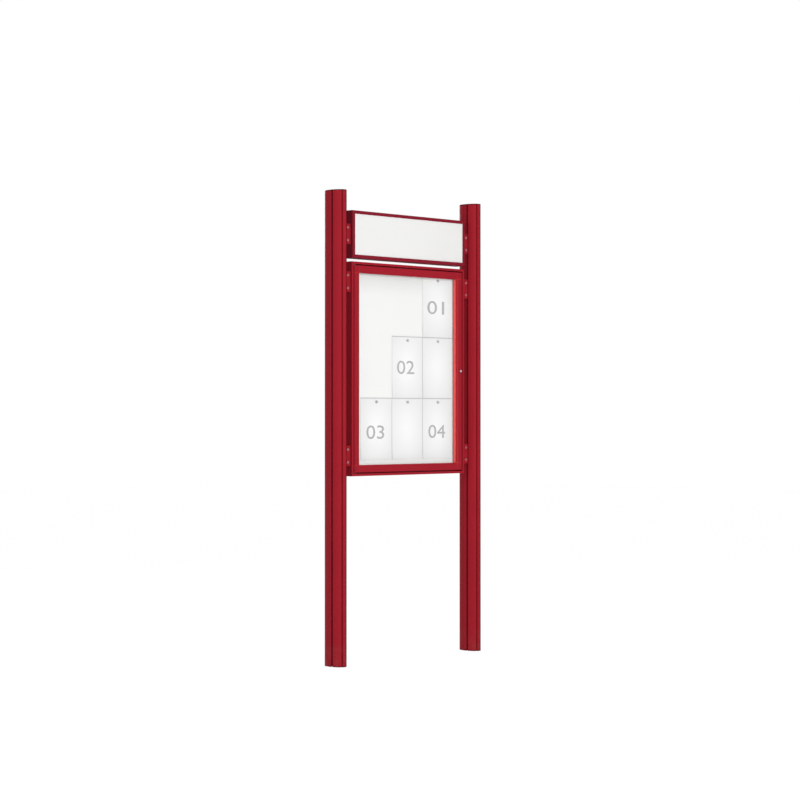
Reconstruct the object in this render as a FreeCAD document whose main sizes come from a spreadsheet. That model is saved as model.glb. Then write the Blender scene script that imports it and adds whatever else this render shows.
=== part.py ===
import FreeCAD, Part

import os
import re

import Sketcher

# An outdoor notice board on two oval posts: a glazed display case for nine sheets,
# with a sign header above it. Millimetres, +Z up, +X along the board, +Y to the back.
# The origin is the centre of the left post's foot.

SIZES = (
    # The sheets that the case is made for, pinned up in columns and rows
    ("sheet_width", 210),
    ("sheet_height", 297),
    ("sheet_thickness", 0.4),
    ("sheet_gap", 0.6),
    ("sheet_columns", 3),
    ("sheet_rows", 3),
    ("sheet_inset", 1.6),
    ("sheet_rise", 8),
    ("magnet_radius", 7),
    ("magnet_thickness", 7),
    ("magnet_drop", 20),
    # The case: a mitred frame of hollow rails with a shelf behind for the board
    ("side_margin", 18.4),
    ("end_margin", 6.9),
    ("case_depth", 50),
    ("case_wall", 2.5),
    ("rim_width", 11.5),
    ("rim_depth", 27),
    ("case_corner", 1),
    ("shelf_width", 18),
    ("back_lip", 8),
    ("board_setback", 34.5),
    ("board_thickness", 6),
    ("board_play", 0.5),
    # The door: a mitred frame with a bevel round the glass
    ("door_gap", 5.5),
    ("door_flat", 22),
    ("door_bevel", 12),
    ("bevel_fall", 4),
    ("door_depth", 28),
    ("door_wall", 2.5),
    ("door_corner", 2),
    ("glass_lip", 2),
    ("glass_thickness", 4),
    ("glass_play", 0.25),
    ("glass_bite", 8),
    ("groove_floor", 9),
    ("pivot_inset", 6),
    ("pivot_radius", 3),
    ("pivot_collar", 5),
    ("pivot_reach", 12),
    ("pivot_play", 0.08),
    # The lock in the door's free stile
    ("lock_inset", 11),
    ("lock_head_radius", 9),
    ("lock_head_proud", 4.5),
    ("lock_body_radius", 7.5),
    ("lock_plug_radius", 5),
    ("lock_play", 0.08),
    ("cam_length", 22),
    ("cam_width", 9),
    ("cam_thickness", 2),
    ("cam_gap", 1),
    # The sign header: a mitred frame that holds a panel front and back
    ("header_gap", 16),
    ("header_height", 224),
    ("header_depth", 62),
    ("header_setback", 36.5),
    ("header_face", 16),
    ("header_corner", 5),
    ("header_wall", 3),
    ("header_lip", 3),
    ("keeper_width", 11),
    ("keeper_thickness", 2),
    ("panel_thickness", 3),
    ("panel_play", 0.1),
    # The posts: hollow oval extrusions with grooves and T-slots
    ("ground_clearance", 883),
    ("post_head", 85),
    ("post_gap", 36),
    ("post_width", 78),
    ("post_depth", 124),
    ("post_wall", 3),
    ("front_setback", 30.5),
    ("groove_offset", 13),
    ("groove_width", 7),
    ("groove_depth", 7),
    ("slot_offset", 14),
    ("slot_mouth", 10),
    ("slot_lip", 2),
    ("slot_chamber", 20),
    ("slot_depth", 8),
    ("cap_thickness", 4),
    ("cap_lug", 14),
    # The hangers: a tongue in the T-slot and an angle on the side of the box
    ("hanger_height", 96),
    ("hanger_inset", 48),
    ("tongue_thickness", 6),
    ("tongue_head", 16),
    ("tongue_head_thickness", 5),
    ("angle_leg", 5),
    ("angle_foot", 3),
    ("angle_depth", 32),
    ("angle_reach", 33),
    ("bolt_inset", 19.5),
    ("bolt_pitch", 60),
    ("bolt_radius", 4),
    ("bolt_across_flats", 13),
    ("bolt_head_height", 4.5),
    ("nut_height", 6.5),
    ("bolt_play", 0.3),
    ("seat_gap", 0.3),
)

# How far a point may lie from a plane and still be on it
TOUCH = 0.001

doc = FreeCAD.newDocument("outdoor_notice_board")
sheet = doc.addObject("Spreadsheet::Sheet", "Sizes")
for row, (alias, value) in enumerate(SIZES, start=1):
    sheet.set(f"A{row}", alias)
    sheet.set(f"B{row}", str(value))
    sheet.setAlias(f"B{row}", alias)
doc.recompute()

# Sizes that follow from the sheets and the frames around them
DOOR_FACE = "(door_flat + door_bevel)"
OPENING_WIDTH = "(sheet_columns * sheet_width + (sheet_columns - 1) * sheet_gap + 2 * side_margin)"
OPENING_HEIGHT = "(sheet_rows * sheet_height + (sheet_rows - 1) * sheet_gap + 2 * end_margin)"
DOOR_WIDTH = f"({OPENING_WIDTH} + 2 * {DOOR_FACE})"
DOOR_HEIGHT = f"({OPENING_HEIGHT} + 2 * {DOOR_FACE})"
CASE_WIDTH = f"({DOOR_WIDTH} + 2 * rim_width + 2 * door_gap)"
CASE_HEIGHT = f"({DOOR_HEIGHT} + 2 * rim_width + 2 * door_gap)"
CASE_LEFT = "(post_width / 2 + post_gap)"
CASE_RIGHT = f"({CASE_LEFT} + {CASE_WIDTH})"
POST_SPACING = f"({CASE_RIGHT} + post_gap + post_width / 2)"
CASE_TOP = f"(ground_clearance + {CASE_HEIGHT})"
HEADER_BOTTOM = f"({CASE_TOP} + header_gap)"
POST_HEIGHT = f"({HEADER_BOTTOM} + header_height + post_head)"
DOOR_LEFT = f"({CASE_LEFT} + rim_width + door_gap)"
DOOR_RIGHT = f"({CASE_RIGHT} - rim_width - door_gap)"
DOOR_BOTTOM = "(ground_clearance + rim_width + door_gap)"
DOOR_TOP = f"({CASE_TOP} - rim_width - door_gap)"


def bound(formula):
    """The formula as an expression on the sheet: every size has an underscore in its name."""
    return re.sub(r"[a-z]+(?:_[a-z]+)+", r"Sizes.\g<0>", formula)


def number(formula):
    """The formula's value now."""
    return float(sheet.evalExpression(bound(formula)))


def new_body(label, solids=1):
    """An empty body, which may hold several loose solids."""
    body = doc.addObject("PartDesign::Body", label)
    body.Label = label
    body.AllowCompound = solids > 1
    return body


def place(piece, x="0", y="0", z="0", about=(0, 0, 1), turn=0):
    """Turn the piece about its own origin and set that origin by three formulas."""
    piece.Placement = FreeCAD.Placement(FreeCAD.Vector(), FreeCAD.Rotation(FreeCAD.Vector(*about), turn))
    piece.setExpression("Placement.Base.x", bound(x))
    piece.setExpression("Placement.Base.y", bound(y))
    piece.setExpression("Placement.Base.z", bound(z))
    return piece


def new_sketch(body, name, role, lift="0"):
    """A sketch on one of the body's own planes, lifted along the plane's normal."""
    plane = next(feature for feature in body.Origin.OriginFeatures if feature.Role == role)
    sketch = body.newObject("Sketcher::SketchObject", name)
    sketch.AttachmentSupport = [(plane, "")]
    sketch.MapMode = "FlatFace"
    sketch.setExpression("AttachmentOffset.Base.z", bound(lift))
    return sketch


def dimension(sketch, kind, where, formula):
    """One driving dimension of a sketch, bound to the sheet."""
    index = sketch.addConstraint(Sketcher.Constraint(kind, *where, number(formula)))
    sketch.setExpression(f"Constraints[{index}]", bound(formula))


def draw_polygon(sketch, corners):
    """A closed outline through the corners, each given by two formulas."""
    points = [FreeCAD.Vector(number(x), number(y), 0) for x, y in corners]
    edges = [sketch.addGeometry(Part.LineSegment(start, end), False)
             for start, end in zip(points, points[1:] + points[:1])]
    for edge, following in zip(edges, edges[1:] + edges[:1]):
        sketch.addConstraint(Sketcher.Constraint("Coincident", edge, 2, following, 1))
    for edge, (x, y) in zip(edges, corners):
        dimension(sketch, "DistanceX", (-1, 1, edge, 1), x)
        dimension(sketch, "DistanceY", (-1, 1, edge, 1), y)


def draw_rectangle(sketch, left, right, low, high):
    """An upright rectangle between four formulas."""
    draw_polygon(sketch, ((left, low), (right, low), (right, high), (left, high)))


def draw_circle(sketch, x, y, radius):
    """A circle by its centre and radius."""
    centre = FreeCAD.Vector(number(x), number(y), 0)
    circle = sketch.addGeometry(Part.Circle(centre, FreeCAD.Vector(0, 0, 1), number(radius)), False)
    dimension(sketch, "Radius", (circle,), radius)
    dimension(sketch, "DistanceX", (-1, 1, circle, 3), x)
    dimension(sketch, "DistanceY", (-1, 1, circle, 3), y)


def draw_hexagon(sketch, x, y, across_flats):
    """An upright hexagon by its centre and the distance between its flats."""
    draw_polygon(sketch, [(f"{x} + {across_flats} / sqrt(3) * cos({turn})",
                           f"{y} + {across_flats} / sqrt(3) * sin({turn})")
                          for turn in (30, 90, 150, 210, 270, 330)])


def draw_oval(sketch, x, y, width, depth):
    """An ellipse by its centre, its size along x and its size along y."""
    centre = FreeCAD.Vector(number(x), number(y), 0)
    half_width = FreeCAD.Vector(number(width) / 2, 0, 0)
    half_depth = FreeCAD.Vector(0, number(depth) / 2, 0)
    upright = half_depth.Length > half_width.Length
    longer, shorter = (half_depth, half_width) if upright else (half_width, half_depth)
    oval = sketch.addGeometry(Part.Ellipse(centre + longer, centre + shorter, centre), False)
    sketch.exposeInternalGeometry(oval)
    dimension(sketch, "DistanceX", (-1, 1, oval, 3), x)
    dimension(sketch, "DistanceY", (-1, 1, oval, 3), y)
    sketch.addConstraint(Sketcher.Constraint("Vertical" if upright else "Horizontal", oval + 1))
    dimension(sketch, "Distance", (oval + 1,), depth if upright else width)
    dimension(sketch, "Distance", (oval + 2,), width if upright else depth)


def pad(body, sketch, length, reverse=False, middle=False):
    """Extrude the sketch by a formula."""
    feature = body.newObject("PartDesign::Pad", f"{sketch.Name}_pad")
    feature.Profile = sketch
    feature.setExpression("Length", bound(length))
    feature.Reversed = reverse
    feature.SideType = "Symmetric" if middle else "One side"
    sketch.Visibility = False
    doc.recompute()
    return feature


def pocket(body, sketch, depth=None, reverse=False, middle=False):
    """Cut the sketch out of the body: to a depth, or right through it."""
    volume = body.Shape.Volume
    feature = body.newObject("PartDesign::Pocket", f"{sketch.Name}_cut")
    feature.Profile = sketch
    if depth is None:
        feature.Type = "ThroughAll"
    else:
        feature.setExpression("Length", bound(depth))
    feature.Reversed = reverse
    feature.SideType = "Symmetric" if middle else "One side"
    doc.recompute()
    if not body.Shape.Volume < volume:
        raise ValueError(f"{body.Label}: {sketch.Name} cuts nothing")
    return feature


def round_edges(body, radius, chosen):
    """Round the edges of the body that the test picks."""
    base = body.Tip
    names = [f"Edge{index}" for index, edge in enumerate(base.Shape.Edges, start=1) if chosen(edge)]
    fillet = body.newObject("PartDesign::Fillet", f"{body.Label}_round")
    fillet.Base = (base, names)
    fillet.setExpression("Radius", bound(radius))
    doc.recompute()
    return fillet


def plain_box(label, x_span, y_span, z_span):
    """A plain plate between two formulas along each axis."""
    box = doc.addObject("Part::Box", label)
    box.Label = label
    for size, (low, high) in zip(("Length", "Width", "Height"), (x_span, y_span, z_span)):
        box.setExpression(size, bound(f"{high} - {low}"))
    return place(box, x_span[0], y_span[0], z_span[0])


# The posts: oval extrusions with cavities between their webs, paired grooves front and
# back, and a T-slot down each flank, towards the front.

OVAL_AT_GROOVE = "(post_depth / 2 * sqrt(1 - pow(2 * groove_offset / post_width; 2)))"
GROOVE_BED = f"({OVAL_AT_GROOVE} - groove_depth)"
SLOT_EDGE = "(slot_offset + slot_chamber / 2)"
CHAMBER_OUT = f"(post_width / 2 * sqrt(1 - pow(2 * {SLOT_EDGE} / post_depth; 2)) - slot_lip)"
CHAMBER_IN = f"({CHAMBER_OUT} - slot_depth)"
REAR_OUT = f"({CHAMBER_OUT} + slot_lip - post_wall)"
LOBE_IN = f"({SLOT_EDGE} + post_wall)"
LOBE_OUT = f"({GROOVE_BED} - post_wall / 2)"
LOBE_MIDDLE = f"(({LOBE_IN} + {LOBE_OUT}) / 2)"
LOBE_DEPTH = f"({LOBE_OUT} - {LOBE_IN})"
LOBE_WIDTH = f"(post_width * sqrt(1 - pow(2 * {LOBE_MIDDLE} / post_depth; 2)) - 3 * post_wall)"

# The largest rectangle in an oval has its sides over the square root of two
LUG_WIDTH = f"({LOBE_WIDTH} / sqrt(2) - seat_gap)"
LUG_DEPTH = f"({LOBE_DEPTH} / sqrt(2) - seat_gap)"


def make_post(label, x):
    """One post, standing on the ground."""
    body = new_body(label)
    oval = new_sketch(body, f"{label}_oval", "XY_Plane")
    draw_oval(oval, "0", "0", "post_width", "post_depth")
    pad(body, oval, POST_HEIGHT)

    lobes = new_sketch(body, f"{label}_lobes", "XY_Plane")
    middles = new_sketch(body, f"{label}_middles", "XY_Plane")
    grooves = new_sketch(body, f"{label}_grooves", "XY_Plane")
    chambers = new_sketch(body, f"{label}_chambers", "XY_Plane")
    mouths = new_sketch(body, f"{label}_mouths", "XY_Plane")
    for sign in ("", "-"):
        draw_oval(lobes, "0", f"{sign}{LOBE_MIDDLE}", LOBE_WIDTH, LOBE_DEPTH)
        draw_rectangle(middles, f"{sign}post_wall / 2", f"{sign}({CHAMBER_IN} - post_wall)",
                       f"-({SLOT_EDGE} - post_wall)", "-post_wall / 2")
        draw_rectangle(middles, f"{sign}post_wall / 2", f"{sign}{REAR_OUT}", "post_wall / 2", SLOT_EDGE)
        draw_rectangle(chambers, f"{sign}{CHAMBER_IN}", f"{sign}{CHAMBER_OUT}",
                       f"-{SLOT_EDGE}", "-(slot_offset - slot_chamber / 2)")
        draw_rectangle(mouths, f"{sign}({CHAMBER_IN} + slot_depth / 2)", f"{sign}post_width",
                       "-(slot_offset + slot_mouth / 2)", "-(slot_offset - slot_mouth / 2)")
        for other in ("", "-"):
            draw_rectangle(grooves, f"{sign}(groove_offset - groove_width / 2)",
                           f"{sign}(groove_offset + groove_width / 2)",
                           f"{other}{GROOVE_BED}", f"{other}post_depth")
    for sketch in (lobes, middles, grooves, chambers, mouths):
        pocket(body, sketch, reverse=True)
    return place(body, x)


def make_post_cap(label, x):
    """The flat cap on a post, with two lugs in the post's outer cavities."""
    body = new_body(label)
    plate = new_sketch(body, f"{label}_plate", "XY_Plane")
    draw_oval(plate, "0", "0", "post_width", "post_depth")
    pad(body, plate, "cap_thickness")
    lugs = new_sketch(body, f"{label}_lugs", "XY_Plane")
    for sign in ("", "-"):
        draw_rectangle(lugs, f"-{LUG_WIDTH} / 2", f"{LUG_WIDTH} / 2",
                       f"{sign}({LOBE_MIDDLE} - {LUG_DEPTH} / 2)", f"{sign}({LOBE_MIDDLE} + {LUG_DEPTH} / 2)")
    pad(body, lugs, "cap_lug", reverse=True)
    return place(body, x, z=POST_HEIGHT)


parts = []
for side, post_x in (("left", "0"), ("right", POST_SPACING)):
    parts.append(make_post(f"{side}_post", post_x))
    parts.append(make_post_cap(f"{side}_post_cap", post_x))


# Mitred frames. A rail lies along X with its outer face down: its section has the depth
# from the front along Y and the distance in from the outer edge along Z.

def make_rail(label, length, width, outline, hollows, corner):
    """One rail of a frame, cut at 45 degrees at both ends."""
    body = new_body(label)
    section = new_sketch(body, f"{label}_section", "YZ_Plane")
    draw_polygon(section, outline)
    for hollow in hollows:
        draw_rectangle(section, *hollow)
    pad(body, section, length)
    round_edges(body, corner, lambda edge: edge.BoundBox.YMax < TOUCH and edge.BoundBox.ZMax < TOUCH)
    mitres = new_sketch(body, f"{label}_mitres", "XZ_Plane")
    draw_polygon(mitres, (("0", "0"), (f"2 * {width}", f"2 * {width}"), ("0", f"2 * {width}")))
    draw_polygon(mitres, ((length, "0"), (length, f"2 * {width}"),
                          (f"{length} - 2 * {width}", f"2 * {width}")))
    pocket(body, mitres)
    return body


def make_frame(name, left, bottom, wide, tall, width, outline, hollows, corner, setback="front_setback"):
    """The four rails of a frame, by side."""
    right = f"{left} + {wide}"
    top = f"{bottom} + {tall}"
    sides = (
        ("bottom", wide, left, bottom, 0),
        ("right", tall, right, bottom, -90),
        ("top", wide, right, top, 180),
        ("left", tall, left, top, 90),
    )
    rails = {}
    for side, length, x, z, turn in sides:
        rail = make_rail(f"{name}_{side}_rail", length, width, outline, hollows, corner)
        rails[side] = place(rail, x, f"-{setback}", z, about=(0, 1, 0), turn=turn)
        parts.append(rail)
    return rails


# The case's frame: a tube at the rim, a shelf that carries the board, and a lip at the back.

SHELF = "(board_setback + board_thickness)"
SHELF_BACK = f"({SHELF} + case_wall)"
case_outline = (
    ("0", "0"),
    ("0", "rim_width"),
    ("rim_depth", "rim_width"),
    ("rim_depth", "case_wall"),
    (SHELF, "case_wall"),
    (SHELF, "shelf_width"),
    (SHELF_BACK, "shelf_width"),
    (SHELF_BACK, "case_wall"),
    ("case_depth - case_wall", "case_wall"),
    ("case_depth - case_wall", "back_lip"),
    ("case_depth", "back_lip"),
    ("case_depth", "0"),
)
case_hollow = ("case_wall", "rim_depth - case_wall", "case_wall", "rim_width - case_wall")
case_rails = make_frame("case", CASE_LEFT, "ground_clearance", CASE_WIDTH, CASE_HEIGHT,
                        "shelf_width", case_outline, (case_hollow,), "case_corner")

BOARD_FRONT = "(board_setback - front_setback)"
BOARD_MARGIN = "(case_wall + board_play)"
parts.append(plain_box("case_back_board",
                       (f"({CASE_LEFT} + {BOARD_MARGIN})", f"({CASE_RIGHT} - {BOARD_MARGIN})"),
                       (BOARD_FRONT, f"({BOARD_FRONT} + board_thickness)"),
                       (f"(ground_clearance + {BOARD_MARGIN})", f"({CASE_TOP} - {BOARD_MARGIN})")))


# The door's frame: a tube behind the flat, and a second one behind the groove for the glass.

LIP_BACK = "(bevel_fall + glass_lip)"
GROOVE_BACK = f"({LIP_BACK} + glass_thickness + 2 * glass_play)"
GROOVE_BOTTOM = f"({DOOR_FACE} - groove_floor)"
door_outline = (
    ("0", "0"),
    ("0", "door_flat"),
    ("bevel_fall", DOOR_FACE),
    (LIP_BACK, DOOR_FACE),
    (LIP_BACK, GROOVE_BOTTOM),
    (GROOVE_BACK, GROOVE_BOTTOM),
    (GROOVE_BACK, DOOR_FACE),
    ("door_depth", DOOR_FACE),
    ("door_depth", "0"),
)
door_hollows = (
    ("door_wall", "door_depth - door_wall", "door_wall", f"{GROOVE_BOTTOM} - door_wall"),
    (f"{GROOVE_BACK} + door_wall", "door_depth - door_wall", GROOVE_BOTTOM, f"{DOOR_FACE} - door_wall"),
)
door_rails = make_frame("door", DOOR_LEFT, DOOR_BOTTOM, DOOR_WIDTH, DOOR_HEIGHT,
                        DOOR_FACE, door_outline, door_hollows, "door_corner")

GLASS_MARGIN = f"({DOOR_FACE} - glass_bite)"
GLASS_FRONT = f"({LIP_BACK} + glass_play - front_setback)"
parts.append(plain_box("door_glass",
                       (f"({DOOR_LEFT} + {GLASS_MARGIN})", f"({DOOR_RIGHT} - {GLASS_MARGIN})"),
                       (GLASS_FRONT, f"({GLASS_FRONT} + glass_thickness)"),
                       (f"({DOOR_BOTTOM} + {GLASS_MARGIN})", f"({DOOR_TOP} - {GLASS_MARGIN})")))


# The door's pivots: a collared pin through the rim at the top and bottom of the left stile,
# which ends in a hole in the door's outer wall.

def bore_rail(rail, name, along, radius, lift="0", depth="2 * door_wall", reverse=False):
    """A round hole across a rail, at the pivots' distance behind the front."""
    circle = new_sketch(rail, f"{rail.Label}_{name}", "XY_Plane", lift)
    draw_circle(circle, along, "pivot_inset", radius)
    pocket(rail, circle, depth, reverse)


PIVOT_BORE = "pivot_radius + pivot_play"
PIVOT_IN_CASE = "(rim_width + door_gap + pivot_inset)"
bore_rail(case_rails["bottom"], "pivot_bore", PIVOT_IN_CASE, PIVOT_BORE, "rim_width", "2 * case_wall")
bore_rail(case_rails["top"], "pivot_bore", f"{CASE_WIDTH} - {PIVOT_IN_CASE}", PIVOT_BORE,
          "rim_width", "2 * case_wall")
bore_rail(door_rails["bottom"], "pivot_bore", "pivot_inset", PIVOT_BORE, reverse=True)
bore_rail(door_rails["top"], "pivot_bore", f"{DOOR_WIDTH} - pivot_inset", PIVOT_BORE, reverse=True)


def make_pivot(label, z, turn):
    """A pin that stands on the inside of a case rail's outer wall."""
    body = new_body(label)
    profile = new_sketch(body, f"{label}_profile", "XZ_Plane")
    rim_inside = "rim_width - case_wall"
    collar_end = f"({rim_inside} + door_gap - seat_gap)"
    draw_polygon(profile, (
        ("0", "0"),
        ("pivot_radius", "0"),
        ("pivot_radius", rim_inside),
        ("pivot_collar", rim_inside),
        ("pivot_collar", collar_end),
        ("pivot_radius", collar_end),
        ("pivot_radius", f"{collar_end} + pivot_reach"),
        ("0", f"{collar_end} + pivot_reach"),
    ))
    turned = body.newObject("PartDesign::Revolution", f"{label}_turned")
    turned.Profile = profile
    turned.ReferenceAxis = (profile, ["V_Axis"])
    turned.Angle = 360
    doc.recompute()
    return place(body, f"{DOOR_LEFT} + pivot_inset", "pivot_inset - front_setback", z,
                 about=(1, 0, 0), turn=turn)


parts.append(make_pivot("lower_pivot_pin", "ground_clearance + case_wall", 0))
parts.append(make_pivot("upper_pivot_pin", f"{CASE_TOP} - case_wall", 180))


# The lock: a barrel through the free stile, and a plug that turns a cam behind the case's rim.

LOCK_X = f"({DOOR_RIGHT} - lock_inset)"
LOCK_Z = f"(ground_clearance + {CASE_HEIGHT} / 2)"
DOOR_BACK = "(door_depth - front_setback)"

stile_bore = new_sketch(door_rails["right"], "stile_lock_bore", "XZ_Plane")
draw_circle(stile_bore, f"{DOOR_HEIGHT} / 2", "lock_inset", "lock_body_radius + lock_play")
pocket(door_rails["right"], stile_bore)

barrel = new_body("lock_barrel")
for name, radius, depth, back in (
    ("lock_head", "lock_head_radius", "lock_head_proud", False),
    ("lock_shell", "lock_body_radius", "door_depth", True),
):
    disc = new_sketch(barrel, name, "XZ_Plane")
    draw_circle(disc, "0", "0", radius)
    pad(barrel, disc, depth, reverse=back)
barrel_bore = new_sketch(barrel, "lock_bore", "XZ_Plane")
draw_circle(barrel_bore, "0", "0", "lock_plug_radius + lock_play")
pocket(barrel, barrel_bore, middle=True)
parts.append(place(barrel, LOCK_X, "-front_setback", LOCK_Z))

plug = new_body("lock_plug")
plug_disc = new_sketch(plug, "plug_disc", "XZ_Plane")
draw_circle(plug_disc, "0", "0", "lock_plug_radius")
pad(plug, plug_disc, "door_depth + lock_head_proud + cam_gap", reverse=True)
cam = new_sketch(plug, "cam", "XZ_Plane", "-(door_depth + lock_head_proud + cam_gap)")
draw_rectangle(cam, "-cam_width / 2", "cam_width / 2", "-cam_length", "lock_plug_radius")
pad(plug, cam, "cam_thickness", reverse=True)
round_edges(plug, "cam_width / 4",
            lambda edge: edge.BoundBox.ZMax < number("-cam_length") + TOUCH
            and edge.BoundBox.YLength > number("cam_thickness") - TOUCH)
parts.append(place(plug, LOCK_X, "-front_setback - lock_head_proud", LOCK_Z))


# The sign header: rails with a channel for a panel in front and another behind.

CHANNEL_BACK = "(header_lip + panel_thickness + 2 * panel_play)"
KEEPER_BACK = f"({CHANNEL_BACK} + keeper_thickness)"
front_half = (
    ("0", "header_face"),
    ("header_lip", "header_face"),
    ("header_lip", "header_wall"),
    (CHANNEL_BACK, "header_wall"),
    (CHANNEL_BACK, "keeper_width"),
    (KEEPER_BACK, "keeper_width"),
    (KEEPER_BACK, "header_wall"),
)
back_half = tuple((f"header_depth - {y}", z) for y, z in reversed(front_half))
header_outline = (("0", "0"),) + front_half + back_half + (("header_depth", "0"),)
make_frame("header", CASE_LEFT, HEADER_BOTTOM, CASE_WIDTH, "header_height",
           "header_face", header_outline, (), "header_corner", setback="header_setback")

PANEL_MARGIN = "(header_wall + panel_play)"
for label, panel_front in (
    ("header_front_panel", "(header_lip + panel_play - header_setback)"),
    ("header_back_panel", "(header_depth - header_lip - panel_play - panel_thickness - header_setback)"),
):
    parts.append(plain_box(label,
                           (f"({CASE_LEFT} + {PANEL_MARGIN})", f"({CASE_RIGHT} - {PANEL_MARGIN})"),
                           (panel_front, f"({panel_front} + panel_thickness)"),
                           (f"({HEADER_BOTTOM} + {PANEL_MARGIN})",
                            f"({HEADER_BOTTOM} + header_height - {PANEL_MARGIN})")))


# The hangers: six T-shaped tongues in the posts' front T-slots, each bolted to an angle
# on the side of the case or header.

HANGER_HEIGHTS = (
    ("header", f"({HEADER_BOTTOM} + header_height / 2)"),
    ("case_upper", f"({CASE_TOP} - hanger_inset - hanger_height / 2)"),
    ("case_lower", "(ground_clearance + hanger_inset + hanger_height / 2)"),
)
TONGUE_HEAD_OUT = f"({CHAMBER_OUT} - seat_gap)"
TONGUE_END = f"({CASE_LEFT} - angle_foot - seat_gap)"
ANGLE_BACK = "(-slot_offset - tongue_thickness / 2)"
ANGLE_FRONT = f"({ANGLE_BACK} - angle_leg)"
BOLT_BORE = "(bolt_radius + bolt_play)"


def bore_hanger(body, x):
    """The two bolt holes of a hanger piece, front to back."""
    holes = new_sketch(body, f"{body.Label}_holes", "XZ_Plane")
    for sign in ("", "-"):
        draw_circle(holes, x, f"{sign}bolt_pitch / 2", BOLT_BORE)
    pocket(body, holes, middle=True)


def join_holes(body, x):
    """Make the two holes one upright slot, in which the bolts are set to height."""
    slot = new_sketch(body, f"{body.Label}_slot", "XZ_Plane")
    draw_rectangle(slot, f"{x} - {BOLT_BORE}", f"{x} + {BOLT_BORE}", "-bolt_pitch / 2", "bolt_pitch / 2")
    pocket(body, slot, middle=True)


def make_tongue(label, x, z, turn):
    """The T-shaped tongue, with its head in the slot of a post at the origin."""
    body = new_body(label)
    section = new_sketch(body, f"{label}_section", "XY_Plane")
    head_in = f"({TONGUE_HEAD_OUT} - tongue_head_thickness)"
    draw_polygon(section, (
        (head_in, "-tongue_head / 2"),
        (TONGUE_HEAD_OUT, "-tongue_head / 2"),
        (TONGUE_HEAD_OUT, "-tongue_thickness / 2"),
        (TONGUE_END, "-tongue_thickness / 2"),
        (TONGUE_END, "tongue_thickness / 2"),
        (TONGUE_HEAD_OUT, "tongue_thickness / 2"),
        (TONGUE_HEAD_OUT, "tongue_head / 2"),
        (head_in, "tongue_head / 2"),
    ))
    pad(body, section, "hanger_height", middle=True)
    bore_hanger(body, f"{CASE_LEFT} - bolt_inset")
    join_holes(body, f"{CASE_LEFT} - bolt_inset")
    return place(body, x, "-slot_offset", z, turn=turn)


def make_angle(label, x, z, turn):
    """The angle: its foot lies on the side of the box and its leg covers the tongue."""
    body = new_body(label)
    section = new_sketch(body, f"{label}_section", "XY_Plane")
    draw_polygon(section, (
        ("0", ANGLE_FRONT),
        ("0", f"{ANGLE_FRONT} + angle_depth"),
        ("-angle_foot", f"{ANGLE_FRONT} + angle_depth"),
        ("-angle_foot", ANGLE_BACK),
        ("-angle_reach", ANGLE_BACK),
        ("-angle_reach", ANGLE_FRONT),
    ))
    pad(body, section, "hanger_height", middle=True)
    bore_hanger(body, "-bolt_inset")
    return place(body, x, z=z, about=(0, 1, 0), turn=turn)


def make_bolts(label, x):
    """All the bolts of one side, each with its head in front and its nut behind."""
    body = new_body(label, solids=2 * len(HANGER_HEIGHTS))
    tongue_back = "(-slot_offset + tongue_thickness / 2)"
    for name, draw, size, front, back in (
        ("shanks", draw_circle, "bolt_radius", ANGLE_FRONT, tongue_back),
        ("heads", draw_hexagon, "bolt_across_flats", f"{ANGLE_FRONT} - bolt_head_height", ANGLE_FRONT),
        ("nuts", draw_hexagon, "bolt_across_flats", tongue_back, f"{tongue_back} + nut_height"),
    ):
        outlines = new_sketch(body, f"{label}_{name}", "XZ_Plane", f"-({front})")
        for _, height in HANGER_HEIGHTS:
            for sign in ("-", "+"):
                draw(outlines, x, f"{height} {sign} bolt_pitch / 2", size)
        pad(body, outlines, f"{back} - ({front})", reverse=True)
    return place(body)


for side, post_x, box_x, bolt_x, about_z, about_y in (
    ("left", "0", CASE_LEFT, f"{CASE_LEFT} - bolt_inset", 0, 0),
    ("right", POST_SPACING, CASE_RIGHT, f"{CASE_RIGHT} + bolt_inset", 180, 180),
):
    for level, height in HANGER_HEIGHTS:
        parts.append(make_tongue(f"{side}_{level}_tongue", post_x, height, about_z))
        parts.append(make_angle(f"{side}_{level}_angle", box_x, height, about_y))
    parts.append(make_bolts(f"{side}_hanger_bolts", bolt_x))


# The sheets and their magnets, by column from the left and row from the top.

PINNED = ((2, 0), (2, 1), (1, 1), (2, 2), (1, 2), (0, 2))
SHEETS_RIGHT = f"({DOOR_RIGHT} - {DOOR_FACE} - sheet_inset)"
SHEETS_TOP = f"({DOOR_TOP} - {DOOR_FACE} + sheet_rise)"

sheets = new_body("notice_sheets", solids=len(PINNED))
sheet_outlines = new_sketch(sheets, "sheet_outlines", "XZ_Plane")
magnets = new_body("sheet_magnets", solids=len(PINNED))
magnet_outlines = new_sketch(magnets, "magnet_outlines", "XZ_Plane")
for column, line in PINNED:
    right = f"({SHEETS_RIGHT} - (sheet_columns - 1 - {column}) * (sheet_width + sheet_gap))"
    top = f"({SHEETS_TOP} - {line} * (sheet_height + sheet_gap))"
    draw_rectangle(sheet_outlines, f"{right} - sheet_width", right, f"{top} - sheet_height", top)
    draw_circle(magnet_outlines, f"{right} - sheet_width / 2", f"{top} - magnet_drop", "magnet_radius")
pad(sheets, sheet_outlines, "sheet_thickness")
pad(magnets, magnet_outlines, "magnet_thickness")
parts.append(place(sheets, y=BOARD_FRONT))
parts.append(place(magnets, y=f"{BOARD_FRONT} - sheet_thickness"))


doc.recompute()
for item in doc.Objects:
    if "Invalid" in item.State or "Error" in item.State:
        raise ValueError(f"{item.Label} is {item.State}")
for piece in parts:
    if piece.Shape.isNull() or not piece.Shape.isValid():
        raise ValueError(f"{piece.Label} has no valid shape")

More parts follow.
